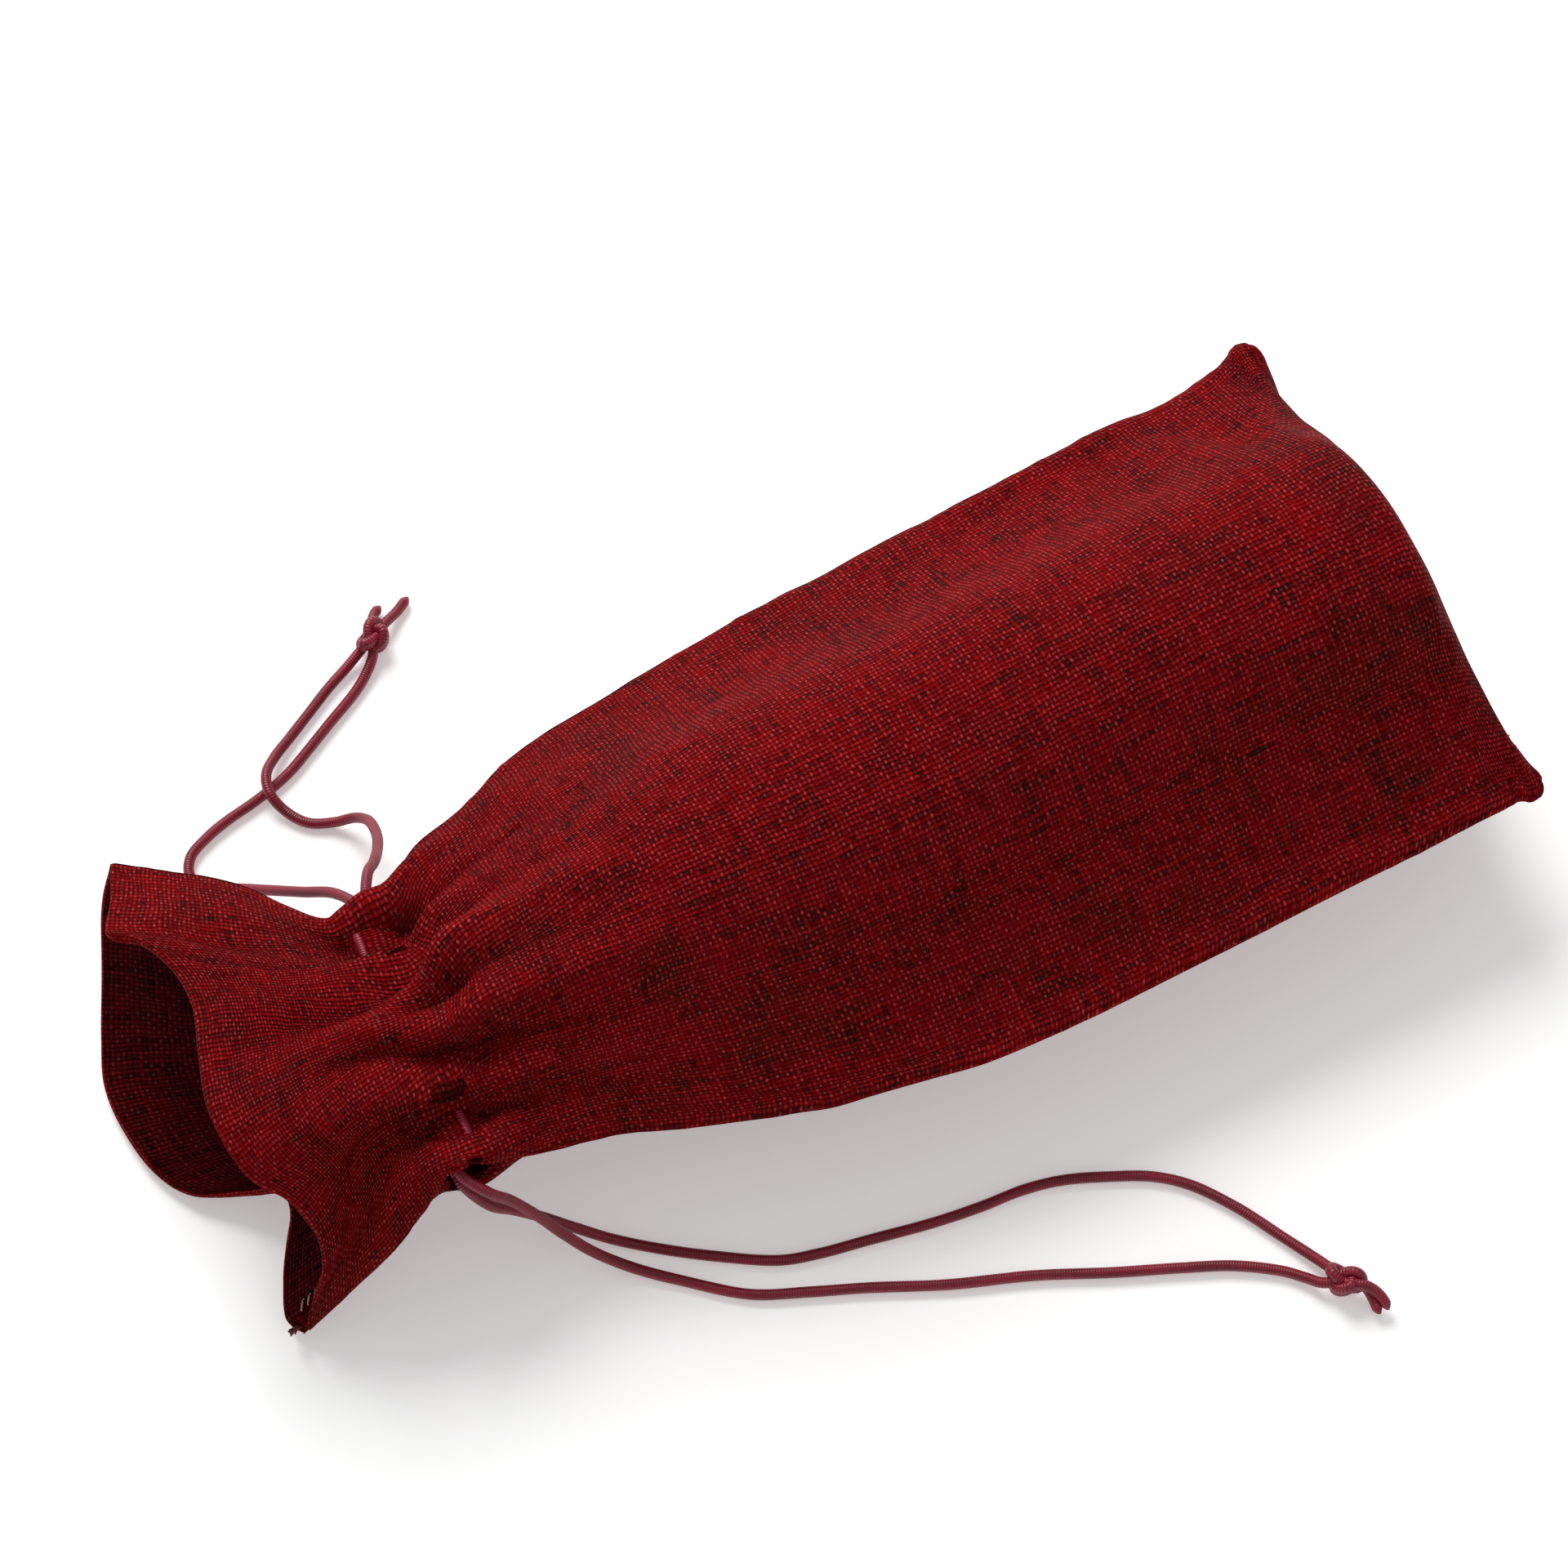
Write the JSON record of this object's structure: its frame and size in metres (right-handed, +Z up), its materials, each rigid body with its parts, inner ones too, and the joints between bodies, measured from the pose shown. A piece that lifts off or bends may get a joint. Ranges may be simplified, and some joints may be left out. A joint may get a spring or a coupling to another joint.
{
  "type": "drawstring wine gift bag",
  "caption": "Long cloth bottle bag lying on its side and filled out to a bottle's shape, gathered at the neck by knotted drawstrings that leave at both side seams.",
  "frame": {"origin": "on the surface the bag lies on, under the middle of the bag's own box (free cord strands left out)", "axes": "+X from the mouth to the closed end, +Y to the bag's left side seen from the mouth, +Z up from the surface it lies on"},
  "size_m": [0.3332, 0.2803, 0.0767],
  "materials": {
    "cloth": "matte",
    "thread": "matte",
    "cord": "satin"
  },
  "bodies": {
    "bag": {"front_panel": "cloth", "back_panel": "cloth", "front_hem": "cloth", "back_hem": "cloth", "left_mouth_seam": "cloth", "left_side_seam": "cloth", "right_mouth_seam": "cloth", "right_side_seam": "cloth", "bottom_seam": "cloth", "upper_channel_stitching": "thread", "lower_channel_stitching": "thread", "left_cord_in_channel": "cord", "right_cord_in_channel": "cord"},
    "left_drawstring": {"left_front_strand": "cord", "left_back_strand": "cord", "left_knot": "cord", "left_front_tail": "cord", "left_back_tail": "cord"},
    "right_drawstring": {"right_front_strand": "cord", "right_back_strand": "cord", "right_knot": "cord", "right_front_tail": "cord", "right_back_tail": "cord"}
  },
  "joints": [
    {"name": "left_drawstring_pull", "type": "slide", "parent": "bag", "child": "left_drawstring", "axis": [0.0924, 0.9957, 0], "range_m": [0, 0.014]},
    {"name": "right_drawstring_pull", "type": "slide", "parent": "bag", "child": "right_drawstring", "axis": [-0.0924, -0.9957, 0], "range_m": [0, 0.014]}
  ]
}
